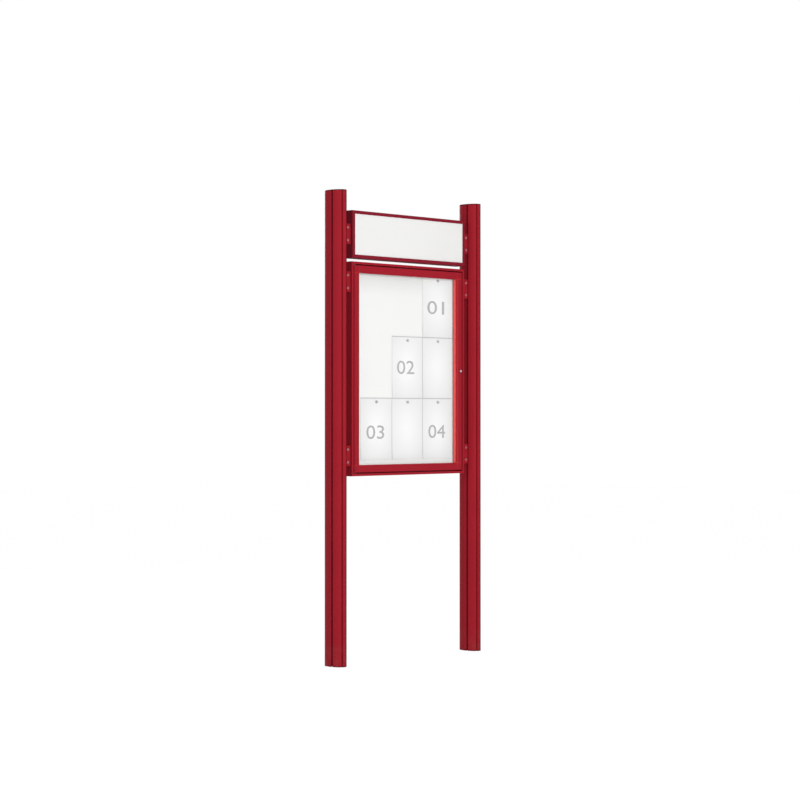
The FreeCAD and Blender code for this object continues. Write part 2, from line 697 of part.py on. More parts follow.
os.makedirs("parts", exist_ok=True)
for piece in parts:
    piece.Shape.exportStep(f"parts/{piece.Label}.step")
    solid_count = len(piece.Shape.Solids)
    print(f"{piece.Label}: {solid_count} solid(s), {piece.Shape.Volume / 1000:.1f} cm3")
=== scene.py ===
import math

import bmesh
import bpy
from mathutils import Matrix, Vector


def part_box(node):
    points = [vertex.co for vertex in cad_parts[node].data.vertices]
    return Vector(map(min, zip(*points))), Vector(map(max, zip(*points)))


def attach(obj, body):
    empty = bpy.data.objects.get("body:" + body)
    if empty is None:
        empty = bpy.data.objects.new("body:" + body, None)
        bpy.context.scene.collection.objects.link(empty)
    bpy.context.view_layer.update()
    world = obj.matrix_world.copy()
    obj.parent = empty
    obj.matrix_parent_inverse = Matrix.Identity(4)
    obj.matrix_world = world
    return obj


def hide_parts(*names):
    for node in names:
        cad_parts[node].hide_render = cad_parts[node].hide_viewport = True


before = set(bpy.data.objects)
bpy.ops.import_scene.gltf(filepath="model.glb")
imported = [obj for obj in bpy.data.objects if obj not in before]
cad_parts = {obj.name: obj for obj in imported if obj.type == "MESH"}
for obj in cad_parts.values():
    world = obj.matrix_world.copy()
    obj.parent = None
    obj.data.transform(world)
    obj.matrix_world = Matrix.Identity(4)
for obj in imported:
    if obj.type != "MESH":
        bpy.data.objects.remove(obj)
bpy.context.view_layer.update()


# The camera and the lamps
# The board is seen from its left front, from a little over a metre up, in a plain white
# studio: one broad lamp in front of it, a weaker one at its left and one behind.

camera_data = bpy.data.cameras.new("photo_camera")
camera_data.lens = 91.35
camera_data.sensor_width = 36.0
camera_data.clip_end = 60.0
camera = bpy.data.objects.new("photo_camera", camera_data)
camera.location = (-6.498, -6.899, 1.171)
camera.rotation_euler = (math.radians(90.42), 0.0, math.radians(-45.10))
bpy.context.scene.collection.objects.link(camera)
bpy.context.scene.camera = camera
bpy.context.scene.view_settings.view_transform = "Standard"

BOARD_MIDDLE = Vector((0.46, 0.0, 1.2))


def add_lamp(name, place, size, power):
    """A square soft lamp that looks at the middle of the board."""
    data = bpy.data.lights.new(name, "AREA")
    data.shape = "SQUARE"
    data.size = size
    data.energy = power
    lamp = bpy.data.objects.new(name, data)
    lamp.location = place
    lamp.rotation_euler = (BOARD_MIDDLE - Vector(place)).to_track_quat("-Z", "Y").to_euler()
    bpy.context.scene.collection.objects.link(lamp)


add_lamp("front_lamp", (-1.0, -5.1, 2.3), 2.4, 138.0)
add_lamp("left_lamp", (-4.4, -1.2, 2.6), 2.2, 34.0)
add_lamp("back_lamp", (2.4, 4.6, 3.2), 2.4, 80.0)


# The studio
# A seamless white sweep under a white sky. The camera, gloss and glass see plain white
# there, and the floor keeps a faint shadow of the posts.

def join(tree, source, output, target, entry):
    """A link between two nodes, by the names or numbers of their sockets."""
    tree.links.new(source.outputs[output], target.inputs[entry])


def add_node(tree, kind, values=None, **settings):
    """A shader node with its settings and the values of its own sockets."""
    node = tree.nodes.new(f"ShaderNode{kind}")
    for name, value in settings.items():
        setattr(node, name, value)
    for name, value in (values or {}).items():
        node.inputs[name].default_value = value
    return node


def feed(tree, source, node, entry):
    """Gives a socket a plain value, or the output that a pair of node and output names."""
    if isinstance(source, tuple) and isinstance(source[0], bpy.types.Node):
        join(tree, *source, node, entry)
    else:
        node.inputs[entry].default_value = source


def combine(tree, operation, first, second):
    """The product, the larger or the like of two values, as a pair of node and output."""
    result = add_node(tree, "Math", operation=operation)
    feed(tree, first, result, 0)
    feed(tree, second, result, 1)
    return result, 0


def seen_as_white(tree, surface, kind, strength, share):
    """The surface as it is, but mostly plain white to the camera and to glass, and pale to gloss."""
    white = add_node(tree, kind, {"Color": (1.0, 1.0, 1.0, 1.0), "Strength": strength})
    rays = add_node(tree, "LightPath")
    glossy = combine(tree, "MULTIPLY", (rays, "Is Glossy Ray"), 0.5)
    straight = combine(tree, "MAXIMUM", (rays, "Is Camera Ray"), (rays, "Is Transmission Ray"))
    seen = combine(tree, "MAXIMUM", straight, glossy)
    mix = add_node(tree, "MixShader")
    join(tree, *combine(tree, "MULTIPLY", seen, share), mix, 0)
    join(tree, surface, 0, mix, 1)
    join(tree, white, 0, mix, 2)
    return mix


world = bpy.data.worlds.new("white_studio")
bpy.context.scene.world = world
world.use_nodes = True
sky = world.node_tree
sky.nodes.clear()
sky_light = add_node(sky, "Background", {"Strength": 0.55})
seen_sky = seen_as_white(sky, sky_light, "Background", strength=1.0, share=1.0)
join(sky, seen_sky, 0, add_node(sky, "OutputWorld"), "Surface")

# The floor lies just under the posts' feet
FLOOR_DROP = 0.0004
bpy.ops.object.select_all(action="DESELECT")
bpy.ops.mesh.primitive_plane_add(size=40.0, location=(BOARD_MIDDLE.x, 0.0, -FLOOR_DROP))
floor = bpy.context.active_object
floor.name = "studio_floor"
floor_paint = bpy.data.materials.new("floor_white")
floor_paint.use_nodes = True
floor_tree = floor_paint.node_tree
floor_tree.nodes.clear()
floor_matt = add_node(floor_tree, "BsdfDiffuse", {"Color": (0.90, 0.90, 0.90, 1.0)})
seen_floor = seen_as_white(floor_tree, floor_matt, "Emission", strength=1.04, share=0.93)
join(floor_tree, seen_floor, 0, add_node(floor_tree, "OutputMaterial"), "Surface")
floor.data.materials.append(floor_paint)


# The posts
# Hollow oval aluminium extrusions with grooves front and back and a T-slot down each flank,
# powder coated ruby red. The coat is thin on the edges and dusty close to the ground, and a
# painted contact shadow darkens the very foot.

def new_group(name, entries, exits):
    """An empty shader group with named sockets, and its two ends."""
    group = bpy.data.node_groups.new(name, "ShaderNodeTree")
    for label, kind, value in entries:
        socket = group.interface.new_socket(label, in_out="INPUT", socket_type=f"NodeSocket{kind}")
        socket.default_value = value
    for label, kind in exits:
        group.interface.new_socket(label, in_out="OUTPUT", socket_type=f"NodeSocket{kind}")
    return group, group.nodes.new("NodeGroupInput"), group.nodes.new("NodeGroupOutput")


def mix_colours(tree, share, first, second):
    """The first colour with a share of the second, as a pair of node and output."""
    mixer = add_node(tree, "Mix", data_type="RGBA")
    for source, entry in ((share, 0), (first, 6), (second, 7)):
        feed(tree, source, mixer, entry)
    return mixer, 2


WHITE = (1.0, 1.0, 1.0, 1.0)

# Uneven colour, fine relief and worn edges, for every hard finish on the board
finish_group, entry, leave = new_group(
    "worn_finish",
    (("Colour", "Color", WHITE), ("Edge Colour", "Color", WHITE), ("Edge Width", "Float", 0.0015),
     ("Edge Wear", "Float", 0.3), ("Cloud Scale", "Float", 4.0), ("Cloud Depth", "Float", 0.05),
     ("Grain Scale", "Float", 900.0), ("Gloss", "Float", 0.4), ("Gloss Spread", "Float", 0.1)),
    (("Color", "Color"), ("Roughness", "Float"), ("Height", "Float"), ("Normal", "Vector")))
place = add_node(finish_group, "TexCoord")
clouds = add_node(finish_group, "TexNoise", {"Detail": 4.0, "Roughness": 0.6})
grain = add_node(finish_group, "TexNoise", {"Detail": 2.0, "Roughness": 0.5})
chips = add_node(finish_group, "TexNoise", {"Scale": 55.0, "Detail": 3.0, "Roughness": 0.65})
for noise, scale in ((clouds, "Cloud Scale"), (grain, "Grain Scale"), (chips, None)):
    join(finish_group, place, "Object", noise, "Vector")
    if scale:
        join(finish_group, entry, scale, noise, "Scale")
rounded = add_node(finish_group, "Bevel", samples=4)
flat = add_node(finish_group, "NewGeometry")
corner = add_node(finish_group, "VectorMath", operation="DOT_PRODUCT")
at_edge = add_node(finish_group, "MapRange", {"From Min": 0.995, "From Max": 0.80})
chipped = add_node(finish_group, "MapRange", {"From Min": 0.35, "From Max": 0.70})
join(finish_group, entry, "Edge Width", rounded, "Radius")
join(finish_group, rounded, "Normal", corner, 0)
join(finish_group, flat, "Normal", corner, 1)
join(finish_group, corner, "Value", at_edge, "Value")
join(finish_group, chips, "Fac", chipped, "Value")
worn = combine(finish_group, "MULTIPLY", (at_edge, "Result"), (chipped, "Result"))
wear = combine(finish_group, "MULTIPLY", worn, (entry, "Edge Wear"))
lift = add_node(finish_group, "MapRange", {"From Min": 0.3, "From Max": 0.7, "To Min": -1.0})
depth = add_node(finish_group, "Math", {2: 1.0}, operation="MULTIPLY_ADD")
tint = add_node(finish_group, "VectorMath", operation="SCALE")
join(finish_group, clouds, "Fac", lift, "Value")
join(finish_group, lift, "Result", depth, 0)
join(finish_group, entry, "Cloud Depth", depth, 1)
join(finish_group, entry, "Colour", tint, 0)
join(finish_group, depth, 0, tint, "Scale")
join(finish_group, *mix_colours(finish_group, wear, (tint, 0), (entry, "Edge Colour")), leave, "Color")
gloss = add_node(finish_group, "Math", operation="MULTIPLY_ADD")
join(finish_group, lift, "Result", gloss, 0)
join(finish_group, entry, "Gloss Spread", gloss, 1)
join(finish_group, entry, "Gloss", gloss, 2)
join(finish_group, gloss, 0, leave, "Roughness")
join(finish_group, grain, "Fac", leave, "Height")
join(finish_group, rounded, "Normal", leave, "Normal")


def finish(name, look, plain=None, relief=0.1, relief_height=0.0001):
    """A material from the worn finish, with plain values on the shader's own sockets."""
    material = bpy.data.materials.new(name)
    material.use_nodes = True
    tree = material.node_tree
    shader = tree.nodes["Principled BSDF"]
    surface = add_node(tree, "Group", node_tree=finish_group)
    for label, value in look.items():
        surface.inputs[label].default_value = value
    bump = add_node(tree, "Bump", {"Strength": relief, "Distance": relief_height})
    join(tree, surface, "Color", shader, "Base Color")
    join(tree, surface, "Roughness", shader, "Roughness")
    join(tree, surface, "Height", bump, "Height")
    join(tree, surface, "Normal", bump, "Normal")
    join(tree, bump, "Normal", shader, "Normal")
    for label, value in (plain or {}).items():
        shader.inputs[label].default_value = value
    return material, tree, surface, shader


def coat_nodes(material, *names):
    """Gives CAD nodes this material in place of their plain one."""
    for name in names:
        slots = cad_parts[name].data.materials
        slots.clear()
        slots.append(material)


def object_place(tree):
    """The point in the object's own coordinates, whole and as X, Y and Z."""
    place = add_node(tree, "TexCoord")
    parts = add_node(tree, "SeparateXYZ")
    join(tree, place, "Object", parts, 0)
    return place, parts


RUBY = (0.350, 0.0137, 0.0250, 1.0)
RUBY_WORN = (0.46, 0.040, 0.050, 1.0)
DUST = (0.30, 0.16, 0.13, 1.0)
# Painted contact shadow for the very foot of the posts
PAINTED_FOOT_SHADOW = (0.085, 0.010, 0.014, 1.0)
RUBY_COAT = {"Colour": RUBY, "Edge Colour": RUBY_WORN, "Edge Width": 0.0012, "Edge Wear": 0.35,
             "Cloud Scale": 3.0, "Cloud Depth": 0.045, "Grain Scale": 1400.0,
             "Gloss": 0.5, "Gloss Spread": 0.05}
RUBY_SHEEN = {"Specular IOR Level": 0.05}

ruby_coat = finish("ruby_powder_coat", RUBY_COAT, RUBY_SHEEN, relief=0.12)[0]

post_coat, tree, surface, shader = finish("ruby_post_coat", RUBY_COAT, RUBY_SHEEN, relief=0.12)
place, spot = object_place(tree)
splash = add_node(tree, "TexNoise", {"Scale": 22.0, "Detail": 5.0, "Roughness": 0.7})
spatter = add_node(tree, "MapRange", {"From Min": 0.42, "From Max": 0.62})
low = add_node(tree, "MapRange", {"From Min": 0.12, "From Max": 0.0, "To Max": 0.16})
# Painted contact shadow: the lowest few millimetres are darkened
foot_shadow = add_node(tree, "MapRange", {"From Min": 0.0055, "From Max": 0.0035, "To Max": 0.75})
join(tree, place, "Object", splash, "Vector")
join(tree, splash, "Fac", spatter, "Value")
join(tree, spot, "Z", low, "Value")
join(tree, spot, "Z", foot_shadow, "Value")
dusty = combine(tree, "MULTIPLY", (low, "Result"), (spatter, "Result"))
dusted = mix_colours(tree, dusty, (surface, "Color"), DUST)
join(tree, *mix_colours(tree, (foot_shadow, "Result"), dusted, PAINTED_FOOT_SHADOW), shader, "Base Color")
coat_nodes(post_coat, "left_post", "right_post")


# The post caps
# Flat oval caps of cast aluminium, coloured much darker than the posts, with a crowned edge. Two
# lugs hold each in the post's cavities, over a thin seal that shows as a dark line.

def open_piece(piece):
    """Makes this the only selected piece and opens it for editing."""
    bpy.ops.object.select_all(action="DESELECT")
    piece.select_set(True)
    bpy.context.view_layer.objects.active = piece
    bpy.ops.object.mode_set(mode="EDIT")


def close_piece():
    """Leaves editing."""
    bpy.ops.object.mode_set(mode="OBJECT")


def pick_faces(piece, chosen):
    """Selects the faces whose middle and normal pass the test."""
    bpy.ops.mesh.select_mode(type="FACE")
    bpy.ops.mesh.select_all(action="DESELECT")
    mesh = bmesh.from_edit_mesh(piece.data)
    for face in mesh.faces:
        face.select_set(chosen(face.calc_center_median(), face.normal))
    bmesh.update_edit_mesh(piece.data)


def add_primitive(kind, name, middle, scale=(1.0, 1.0, 1.0), turn=(0.0, 0.0, 0.0), **sizes):
    """A primitive with its place, turn and scale applied to its mesh."""
    bpy.ops.object.select_all(action="DESELECT")
    getattr(bpy.ops.mesh, f"primitive_{kind}_add")(location=middle, rotation=turn, **sizes)
    piece = bpy.context.active_object
    piece.name = name
    piece.data.name = name
    piece.scale = scale
    bpy.ops.object.transform_apply(location=True, rotation=True, scale=True)
    return piece


def apply_modifier(piece, kind, **settings):
    """Adds a modifier and applies it."""
    bpy.ops.object.select_all(action="DESELECT")
    piece.select_set(True)
    bpy.context.view_layer.objects.active = piece
    modifier = piece.modifiers.new(kind.title(), kind)
    for name, value in settings.items():
        setattr(modifier, name, value)
    bpy.ops.object.modifier_apply(modifier=modifier.name)


def round_off(piece, width, segments=2, angle=40.0):
    """Bevels the edges that are sharper than an angle."""
    apply_modifier(piece, "BEVEL", width=width, segments=segments, limit_method="ANGLE",
                   angle_limit=math.radians(angle))


def smooth(piece, angle=30.0):
    """Smooth shading below an angle."""
    bpy.ops.object.select_all(action="DESELECT")
    piece.select_set(True)
    bpy.context.view_layer.objects.active = piece
    bpy.ops.object.shade_smooth_by_angle(angle=math.radians(angle))


def copy_piece(piece, name, move):
    """A copy with its own mesh, moved in that mesh."""
    copy = piece.copy()
    copy.data = piece.data.copy()
    copy.name = name
    copy.data.name = name
    copy.data.transform(Matrix.Translation(move))
    bpy.context.scene.collection.objects.link(copy)
    return copy


def join_pieces(pieces, name):
    """Several pieces made one."""
    bpy.ops.object.select_all(action="DESELECT")
    for piece in pieces:
        piece.select_set(True)
    bpy.context.view_layer.objects.active = pieces[0]
    if len(pieces) > 1:
        bpy.ops.object.join()
    pieces[0].name = name
    pieces[0].data.name = name
    return pieces[0]


def dress(piece, material, body, slot, *nodes):
    """Gives a new piece its material and its body, and hides the CAD nodes that it replaces."""
    piece.data.materials.clear()
    piece.data.materials.append(material)
    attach(piece, body)
    if nodes:
        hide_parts(*nodes)


SEAL_LINE = 0.0005
SEAL_INSET = 0.0009
CROWN = 0.0002
CROWN_INSET = 0.004
CAP_ROUND = 0.0004
LUG_MIDDLE = 0.0385
LUG_SIZE = (0.034, 0.014)
LUG_ROUND = 0.001

post_low, post_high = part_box("left_post")
cap_low, cap_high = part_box("left_post_cap")
plate_low = post_high[2] + SEAL_LINE
plate_high = cap_high[2] - CROWN
cap = add_primitive("cylinder", "left_cap", (0.0, 0.0, (plate_low + plate_high) / 2),
                    scale=(post_high[0] - post_low[0], post_high[1] - post_low[1], plate_high - plate_low),
                    vertices=128, radius=0.5, depth=1.0)
round_off(cap, CAP_ROUND, segments=3)
open_piece(cap)
pick_faces(cap, lambda middle, normal: normal.z > 0.99)
bpy.ops.mesh.inset(thickness=CROWN_INSET)
bpy.ops.transform.translate(value=(0.0, 0.0, CROWN))
pick_faces(cap, lambda middle, normal: normal.z < -0.99)
bpy.ops.mesh.inset(thickness=SEAL_INSET)
bpy.ops.mesh.extrude_region_move(TRANSFORM_OT_translate={"value": (0.0, 0.0, -SEAL_LINE)})
close_piece()
lugs = []
for side in (-1, 1):
    lug = add_primitive("cube", "cap_lug", (0.0, side * LUG_MIDDLE, (cap_low[2] + post_high[2]) / 2),
                        scale=(*LUG_SIZE, post_high[2] - cap_low[2]), size=1.0)
    round_off(lug, LUG_ROUND)
    lugs.append(lug)
cap = join_pieces([cap] + lugs, "left_cap")
smooth(cap)
DARK_RUBY = {**RUBY_COAT, "Colour": (0.085, 0.0040, 0.0065, 1.0),
             "Edge Colour": (0.14, 0.008, 0.012, 1.0)}
cap_coat = finish("dark_ruby_cap_coat", DARK_RUBY, RUBY_SHEEN, relief=0.12)[0]
post_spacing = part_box("right_post")[0][0] - post_low[0]
dress(copy_piece(cap, "right_cap", (post_spacing, 0.0, 0.0)), cap_coat, "frame", "red_powder_coat",
      "right_post_cap")
dress(cap, cap_coat, "frame", "red_powder_coat", "left_post_cap")


# The case and the door's frame
# Mitred aluminium rails, hollow, coated like the posts. The door's inner sides stand close
# to the white board; they and the bevel beside the lock have painted light, a paler red.

coat_nodes(ruby_coat, "case_bottom_rail", "case_right_rail", "case_top_rail", "case_left_rail")

# Painted light on the door's inner sides, and the pale grey that diffuse rays see in its place
PAINTED_REVEAL_LIGHT = (0.88, 0.046, 0.040, 1.0)
PAINTED_REVEAL_LIGHT_BOUNCE = (0.45, 0.36, 0.36, 1.0)
door_left_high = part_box("door_left_rail")[1]
door_right_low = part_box("door_right_rail")[0]
door_bottom_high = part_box("door_bottom_rail")[1]
door_top_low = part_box("door_top_rail")[0]
# How far the painted light reaches across the bevel beside the lock
PAINTED_LIGHT_BEVEL_REACH = 0.010
ON_SIDE = 0.0004


def within(tree, spot, axis, middle, reach):
    """One where a coordinate is within reach of a middle, as a pair of node and output."""
    near = add_node(tree, "Math", {1: middle, 2: reach}, operation="COMPARE")
    join(tree, spot, axis, near, 0)
    return near, 0


def make_door_coat_with_painted_light(name, painted_bevel_light):
    """The ruby coat with painted light: paler inner sides, and a bevel painted paler towards them on the
    right.
    """
    coat, tree, surface, shader = finish(name, RUBY_COAT, RUBY_SHEEN, relief=0.12)
    spot = object_place(tree)[1]
    bevel = add_node(tree, "MapRange", {"From Min": door_right_low[0] + PAINTED_LIGHT_BEVEL_REACH,
                                        "From Max": door_right_low[0], "To Max": painted_bevel_light})
    join(tree, spot, "X", bevel, "Value")
    pale = (bevel, "Result")
    for axis, side in (("X", door_left_high[0]), ("X", door_right_low[0]),
                       ("Z", door_bottom_high[2]), ("Z", door_top_low[2])):
        pale = combine(tree, "MAXIMUM", pale, within(tree, spot, axis, side, ON_SIDE))
    # Only the camera sees the painted light; diffuse rays see a pale grey, so the notices take hardly any
    # red from these sides
    rays = add_node(tree, "LightPath")
    painted_reveal_light = mix_colours(tree, (rays, "Is Diffuse Ray"), PAINTED_REVEAL_LIGHT, PAINTED_REVEAL_LIGHT_BOUNCE)
    join(tree, *mix_colours(tree, pale, (surface, "Color"), painted_reveal_light), shader, "Base Color")
    return coat


# The lock stile's bevel also takes a share of the painted light
coat_nodes(make_door_coat_with_painted_light("ruby_door_coat_painted_light", 0.0), "door_bottom_rail", "door_top_rail", "door_left_rail")
coat_nodes(make_door_coat_with_painted_light("ruby_lock_stile_painted_light", 0.34), "door_right_rail")


# The door's glass
# One pane of clear safety glass, slid into the grooves of the door's rails. It lets light
# straight through to the sheets.

glass = bpy.data.materials.new("clear_safety_glass")
glass.use_nodes = True
tree = glass.node_tree
shader = tree.nodes["Principled BSDF"]
for label, value in (("Base Color", (0.997, 1.0, 0.998, 1.0)), ("IOR", 1.45), ("Transmission Weight", 1.0)):
    shader.inputs[label].default_value = value
place = add_node(tree, "TexCoord")
smears = add_node(tree, "TexNoise", {"Scale": 9.0, "Detail": 6.0, "Roughness": 0.7})
smeared = add_node(tree, "MapRange", {"From Min": 0.45, "From Max": 0.75, "To Max": 0.04})
join(tree, place, "Object", smears, "Vector")
join(tree, smears, "Fac", smeared, "Value")
join(tree, smeared, "Result", shader, "Roughness")
clear = add_node(tree, "BsdfTransparent", {"Color": (0.995, 1.0, 0.997, 1.0)})
rays = add_node(tree, "LightPath")
mix = add_node(tree, "MixShader")
join(tree, *combine(tree, "MAXIMUM", (rays, "Is Shadow Ray"), (rays, "Is Diffuse Ray")), mix, 0)
join(tree, shader, 0, mix, 1)
join(tree, clear, 0, mix, 2)
join(tree, mix, 0, tree.nodes["Material Output"], "Surface")
coat_nodes(glass, "door_glass")


# The glazing bead
# A thin strip of dark red rubber that runs round the front of the pane. It is pressed in
# between the glass and the lip of the rails.

BEAD_WIDTH = 0.0012
BEAD_DEPTH = 0.0019
# A strip's edges are rounded by this share of its smaller side
STRIP_ROUND = 0.2
RED_RUBBER = {"Colour": (0.13, 0.006, 0.012, 1.0), "Edge Colour": (0.2, 0.02, 0.03, 1.0),
              "Edge Width": 0.0005, "Edge Wear": 0.3, "Cloud Scale": 30.0, "Cloud Depth": 0.12,
              "Grain Scale": 2500.0, "Gloss": 0.65, "Gloss Spread": 0.1}
red_rubber = finish("dark_red_rubber", RED_RUBBER, {"Specular IOR Level": 0.15}, relief=0.3)[0]
FACING_FRONT = (math.radians(90.0), 0.0, 0.0)
glass_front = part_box("door_glass")[0][1]


def make_strip(name, left, right, low, high, width, back, front):
    """A strip that runs round a rectangle, inwards from its outer edge, between two depths."""
    strip = add_primitive("plane", name, ((left + right) / 2, back, (low + high) / 2),
                          scale=(right - left, high - low, 1.0), turn=FACING_FRONT, size=1.0)
    open_piece(strip)
    bpy.ops.mesh.select_all(action="SELECT")
    bpy.ops.mesh.inset(thickness=width)
    bpy.ops.mesh.delete(type="FACE")
    bpy.ops.mesh.select_all(action="SELECT")
    bpy.ops.mesh.extrude_region_move(TRANSFORM_OT_translate={"value": (0.0, front - back, 0.0)})
    bpy.ops.mesh.select_all(action="SELECT")
    bpy.ops.mesh.normals_make_consistent(inside=False)
    close_piece()
    round_off(strip, STRIP_ROUND * min(width, back - front), segments=3)
    smooth(strip)
    return strip


bead = make_strip("glazing_bead", door_left_high[0], door_right_low[0], door_bottom_high[2],
                  door_top_low[2], BEAD_WIDTH, glass_front, glass_front - BEAD_DEPTH)
dress(bead, red_rubber, "door", "red_powder_coat")


# The door's pivots
# Two turned pins of blackened steel at the top and bottom of the left stile. Each stands on
# a rail of the case and reaches through its rim into a bore in the door.

ZINC = {"Colour": (0.60, 0.59, 0.575, 1.0), "Edge Colour": (0.74, 0.74, 0.73, 1.0), "Edge Width": 0.0006,
        "Edge Wear": 0.6, "Cloud Scale": 60.0, "Cloud Depth": 0.12, "Grain Scale": 3000.0,
        "Gloss": 0.34, "Gloss Spread": 0.10}
zinc = finish("zinc_plated_steel", ZINC, {"Metallic": 0.85}, relief=0.15, relief_height=0.00005)[0]
BLACK_STEEL = {**ZINC, "Colour": (0.040, 0.012, 0.014, 1.0), "Edge Colour": (0.11, 0.035, 0.04, 1.0)}
black_steel = finish("blackened_steel", BLACK_STEEL, {"Metallic": 0.2}, relief=0.15,
                     relief_height=0.00005)[0]
coat_nodes(black_steel, "lower_pivot_pin", "upper_pivot_pin")


# The lock
# A cam lock of nickel plated brass in the free stile: a barrel with a chamfered head that is
# lacquered red, and a bright plug with a keyway that turns a steel cam behind the case's rim.

NICKEL = {"Colour": (0.90, 0.87, 0.85, 1.0), "Edge Colour": (0.93, 0.91, 0.90, 1.0), "Edge Width": 0.0005,
          "Edge Wear": 0.5, "Cloud Scale": 120.0, "Cloud Depth": 0.08, "Grain Scale": 4000.0,
          "Gloss": 0.24, "Gloss Spread": 0.08}
nickel = finish("nickel_plated_brass", NICKEL, {"Metallic": 0.55}, relief=0.1, relief_height=0.00003)[0]
TINTED_NICKEL = {**NICKEL, "Colour": (0.30, 0.055, 0.065, 1.0), "Edge Colour": (0.40, 0.10, 0.11, 1.0)}
barrel_coat = finish("tinted_nickel_barrel", TINTED_NICKEL, {"Metallic": 0.5}, relief=0.1,
                     relief_height=0.00003)[0]

HEAD_CHAMFER = 0.0008
FACE_INSET = 0.0013
FACE_SLOPE = 0.0004
FACE_SUNK = 0.0006
SHELL_RADIUS = 0.0075
BORE_RADIUS = 0.00508
BORE_OVERRUN = 0.01
PLUG_RADIUS = 0.005
PLUG_SUNK = 0.0004
PLUG_ROUND = 0.0004
# The keyway's slots: width, height and drop below the middle
KEYWAY = ((0.0011, 0.0066, 0.0), (0.0021, 0.0022, 0.0012))
KEYWAY_CUT = 0.012
CAM_WIDTH = 0.009
CAM_THICKNESS = 0.002
CAM_ROUND = 0.0035
NUT_RADIUS = 0.0052
NUT_THICKNESS = 0.0018
NUT_ROUND = 0.0003
barrel_low, barrel_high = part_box("lock_barrel")
plug_low, plug_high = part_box("lock_plug")
head_radius = (barrel_high[0] - barrel_low[0]) / 2
head_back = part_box("door_right_rail")[0][1]
lock_x = (barrel_low[0] + barrel_high[0]) / 2
lock_z = (barrel_low[2] + barrel_high[2]) / 2


def turned_piece(name, x, z, start, end, radius, vertices):
    """A round or six-sided piece along Y, from its front to its back."""
    return add_primitive("cylinder", name, (x, (start + end) / 2, z), turn=FACING_FRONT,
                         vertices=vertices, radius=radius, depth=end - start)


def cut_out(piece, tool):
    """Cuts one piece out of another and deletes the tool."""
    apply_modifier(piece, "BOOLEAN", object=tool, operation="DIFFERENCE", solver="EXACT")
    bpy.data.objects.remove(tool)


barrel = turned_piece("lock_barrel_piece", lock_x, lock_z, barrel_low[1], head_back, head_radius, 64)
round_off(barrel, HEAD_CHAMFER, segments=3)
open_piece(barrel)
pick_faces(barrel, lambda middle, normal: normal.y > 0.99)
bpy.ops.mesh.inset(thickness=head_radius - HEAD_CHAMFER - SHELL_RADIUS)
bpy.ops.mesh.extrude_region_move(TRANSFORM_OT_translate={"value": (0.0, barrel_high[1] - head_back, 0.0)})
pick_faces(barrel, lambda middle, normal: normal.y < -0.99)
bpy.ops.mesh.inset(thickness=FACE_INSET)
bpy.ops.mesh.inset(thickness=FACE_SLOPE)
bpy.ops.transform.translate(value=(0.0, FACE_SUNK, 0.0))
close_piece()
cut_out(barrel, turned_piece("bore", lock_x, lock_z, barrel_low[1] - BORE_OVERRUN,
                             barrel_high[1] + BORE_OVERRUN, BORE_RADIUS, 48))
smooth(barrel)
dress(barrel, barrel_coat, "door", "zinc_steel", "lock_barrel")

plug_face = plug_low[1] + PLUG_SUNK
cam_back = plug_high[1]
cam_top = lock_z + PLUG_RADIUS
plug = turned_piece("key_plug", lock_x, lock_z, plug_face, cam_back, PLUG_RADIUS, 48)
round_off(plug, PLUG_ROUND)
for width, height, drop in KEYWAY:
    cut_out(plug, add_primitive("cube", "keyway", (lock_x, plug_face, lock_z - drop),
                                scale=(width, KEYWAY_CUT, height), size=1.0))
cam = add_primitive("cube", "cam", (lock_x, cam_back - CAM_THICKNESS / 2, (plug_low[2] + cam_top) / 2),
                    scale=(CAM_WIDTH, CAM_THICKNESS, cam_top - plug_low[2]), size=1.0)
open_piece(cam)
bpy.ops.mesh.select_mode(type="EDGE")
bpy.ops.mesh.select_all(action="DESELECT")
cam_mesh = bmesh.from_edit_mesh(cam.data)
for edge in cam_mesh.edges:
    run = edge.verts[0].co - edge.verts[1].co
    edge.select_set(abs(run.y) > 0.5 * CAM_THICKNESS and abs(run.z) < 0.0001 and abs(run.x) < 0.0001)
bmesh.update_edit_mesh(cam.data)
bpy.ops.mesh.bevel(offset=CAM_ROUND, segments=6, affect="EDGES")
close_piece()
cam_nut = turned_piece("cam_nut", lock_x, lock_z, cam_back, cam_back + NUT_THICKNESS, NUT_RADIUS, 6)
round_off(cam_nut, NUT_ROUND)
plug = join_pieces([plug, cam, cam_nut], "key_plug")
smooth(plug)
dress(plug, nickel, "lock_cam", "zinc_steel", "lock_plug")


# The sign header
# Four mitred aluminium rails with a rounded outer edge, coated ruby and darkened by painted
# shade, and a white coated metal panel in front and behind, clipped in between the rails' lips.

# Painted shade: a darker copy of the ruby coat for the header's rails
PAINTED_SHADE_RUBY = {**RUBY_COAT, "Colour": (0.235, 0.0115, 0.0255, 1.0), "Edge Colour": (0.33, 0.028, 0.044, 1.0)}
header_painted_shade_coat = finish("painted_shade_header_coat", PAINTED_SHADE_RUBY, RUBY_SHEEN, relief=0.12)[0]
coat_nodes(header_painted_shade_coat, "header_bottom_rail", "header_right_rail", "header_top_rail", "header_left_rail")
WHITE_COAT = {"Colour": (0.868, 0.866, 0.855, 1.0), "Edge Colour": (0.80, 0.79, 0.77, 1.0),
              "Edge Width": 0.001, "Edge Wear": 0.3, "Cloud Scale": 2.5, "Cloud Depth": 0.012,
              "Grain Scale": 1100.0, "Gloss": 0.42, "Gloss Spread": 0.06}
white_coat = finish("white_sign_coat", WHITE_COAT, {"Specular IOR Level": 0.3}, relief=0.08)[0]
coat_nodes(white_coat, "header_front_panel", "header_back_panel")


# The hangers
# T-shaped tongues in the posts' slots and angles on the sides of the boxes, coated red. Two
# zinc plated hexagon bolts hold each pair, with a washer under every head and nut.

